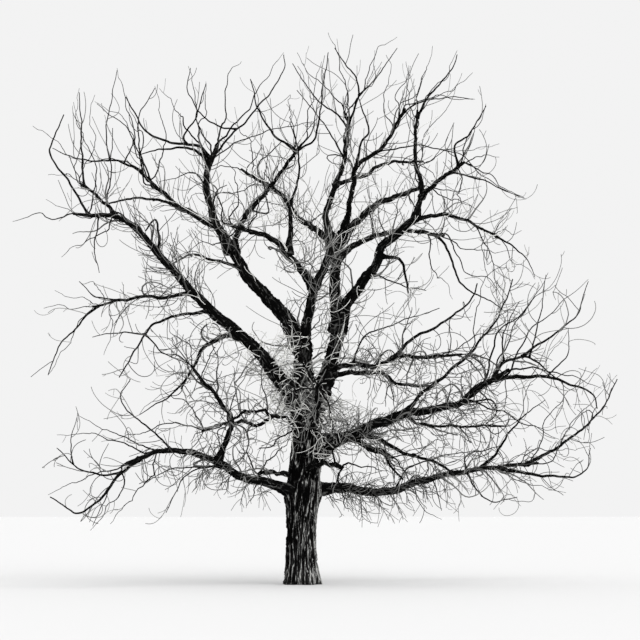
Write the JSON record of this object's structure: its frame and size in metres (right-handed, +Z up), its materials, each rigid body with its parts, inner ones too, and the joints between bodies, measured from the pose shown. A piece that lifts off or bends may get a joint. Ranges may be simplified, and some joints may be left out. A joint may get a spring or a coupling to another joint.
{
  "type": "bare winter tree",
  "caption": "Lone leafless broad-crowned tree with a short furrowed trunk, a low fork, long spreading low limbs and fine twigs all round the crown.",
  "frame": {"origin": "centre of the flat cut under the trunk, at ground level", "axes": "+Z up along the trunk, +X to the viewer's right, -Y towards the viewer of the pictured side"},
  "size_m": [13.6331, 11.1043, 12.9212],
  "materials": {
    "bark": "matte, deeply furrowed",
    "twigs": "matte, smooth young bark"
  },
  "bodies": {
    "root": {"trunk": "bark", "left_limb": "bark", "left_shelf_bough": "bark", "left_drooping_bough": "bark", "left_fan_bough": "bark", "left_stem": "bark", "left_high_limb": "bark", "left_leader": "bark", "left_inner_bough": "bark", "centre_stem": "bark", "centre_leader": "bark", "front_left_bough": "bark", "right_stem": "bark", "right_inner_limb": "bark", "back_right_bough": "bark", "back_left_bough": "bark", "right_shelf_bough": "bark", "right_limb": "bark", "right_high_limb": "bark", "right_fan_bough": "bark", "right_arching_bough": "bark", "right_middle_bough": "bark", "right_low_shelf_bough": "bark", "right_low_limb": "bark", "right_low_back_bough": "bark", "right_low_front_bough": "bark", "lowest_right_limb": "bark", "lowest_left_limb": "bark", "left_rising_bough": "bark", "left_tip_twigs": "twigs", "left_shelf_twigs": "twigs", "left_drooping_twigs": "twigs", "left_fan_twigs": "twigs", "left_high_twigs": "twigs", "left_leader_twigs": "twigs", "left_inner_twigs": "twigs", "crown_top_twigs": "twigs", "front_left_twigs": "twigs", "right_inner_twigs": "twigs", "back_right_twigs": "twigs", "back_left_twigs": "twigs", "right_shelf_twigs": "twigs", "right_high_twigs": "twigs", "right_fan_twigs": "twigs", "right_arching_twigs": "twigs", "right_middle_twigs": "twigs", "right_low_shelf_twigs": "twigs", "right_low_twigs": "twigs", "right_low_back_twigs": "twigs", "right_low_front_twigs": "twigs", "lowest_right_twigs": "twigs", "lowest_left_twigs": "twigs", "left_rising_twigs": "twigs", "left_mid_twigs": "twigs", "left_front_twigs": "twigs", "front_twigs": "twigs", "front_low_twigs": "twigs", "back_twigs": "twigs", "back_low_twigs": "twigs", "fork_tangle_twigs": "twigs"}
  },
  "joints": []
}
